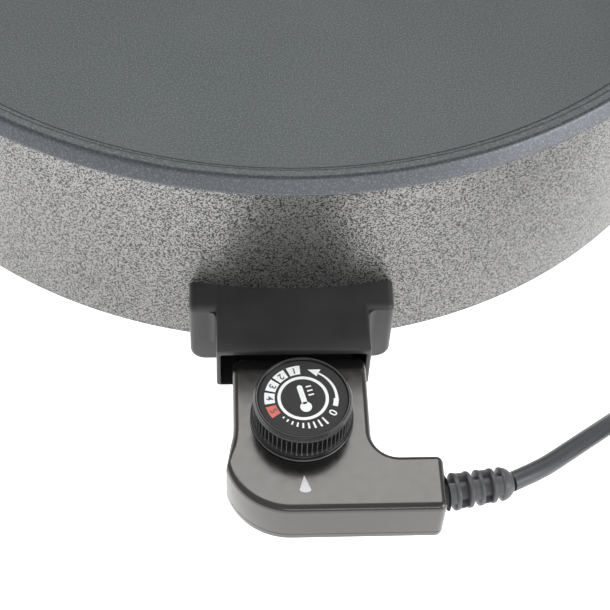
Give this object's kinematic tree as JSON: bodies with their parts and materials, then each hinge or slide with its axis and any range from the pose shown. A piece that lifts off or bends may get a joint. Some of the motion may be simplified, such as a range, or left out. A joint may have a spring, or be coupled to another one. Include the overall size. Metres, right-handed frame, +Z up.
{
  "type": "electric griddle",
  "caption": "Deep round electric griddle pan with a lid ledge, side handles and a plug-in probe thermostat whose knob sets the heat of the non-stick cooking surface.",
  "frame": {"origin": "on the table under the middle of the object's box, without the cord, its coil and its plug", "axes": "+Z up, out of the cooking surface; -Y towards the thermostat at the front; +X to the right, the side the cord leaves on"},
  "size_m": [0.5, 0.4994, 0.1165],
  "materials": {
    "nonstick": "cast aluminium under a matt grey non-stick coating with fine metallic flecks",
    "hammer_paint": "hammer-finish stoved paint, semi-gloss",
    "plain_sheet": "bare aluminised sheet",
    "zinc_screw": "zinc plated",
    "foot_plastic": "matt phenolic",
    "element_steel": "heat-darkened sheath",
    "ceramic_bead": "unglazed",
    "shroud_plastic": "satin, finely textured phenolic",
    "case_plastic": "gloss moulded",
    "knob_plastic": "satin moulded, knurled grip",
    "dial_print": "gloss dial with white and red print",
    "pin_metal": "nickel plated",
    "brass": "bare brass",
    "phenolic": "phenolic laminate",
    "nylon": "natural nylon",
    "relief_rubber": "matt flexible PVC",
    "cord_pvc": "satin PVC"
  },
  "bodies": {
    "pan": {"pan_bowl": "nonstick", "outer_shell": "hammer_paint", "base_plate": "plain_sheet", "bowl_screws": "zinc_screw", "hem_screws": "zinc_screw", "foot_pads": "foot_plastic", "foot_screws": "zinc_screw", "foot_nuts": "zinc_screw", "heating_element": "element_steel", "element_clamp": "plain_sheet", "terminal_pins": "pin_metal", "pin_insulators": "ceramic_bead", "terminal_plate": "plain_sheet", "socket_shroud": "shroud_plastic", "shroud_screws": "zinc_screw", "handle_left": "shroud_plastic", "handle_right": "shroud_plastic", "handle_screws": "zinc_screw"},
    "thermostat": {"case_top_cover": "case_plastic", "case_bottom_cover": "case_plastic", "case_screws": "zinc_screw", "probe_rod": "pin_metal", "probe_collar": "plain_sheet", "contact_sockets": "brass", "switch_block": "phenolic", "bimetal_arm": "brass", "contact_springs": "brass", "cord_clamp": "nylon", "clamp_screws": "zinc_screw", "strain_relief": "relief_rubber", "cord": "cord_pvc", "cord_coil": "cord_pvc", "coil_tie": "foot_plastic", "cord_tail": "cord_pvc", "plug_body": "cord_pvc", "plug_pins": "pin_metal"},
    "knob": {"knob_cap": "knob_plastic", "dial_disc": "dial_print", "knob_spindle": "pin_metal", "spindle_cam": "nylon"}
  },
  "joints": [
    {"name": "probe_pull", "type": "slide", "parent": "pan", "child": "thermostat", "axis": [0, -1, 0], "range_m": [0, 0.085]},
    {"name": "knob_turn", "type": "hinge", "parent": "thermostat", "child": "knob", "pos_m": [0.0021, -0.2116, 0.05], "axis": [0, 0, 1], "range_deg": [-296, 0]}
  ]
}
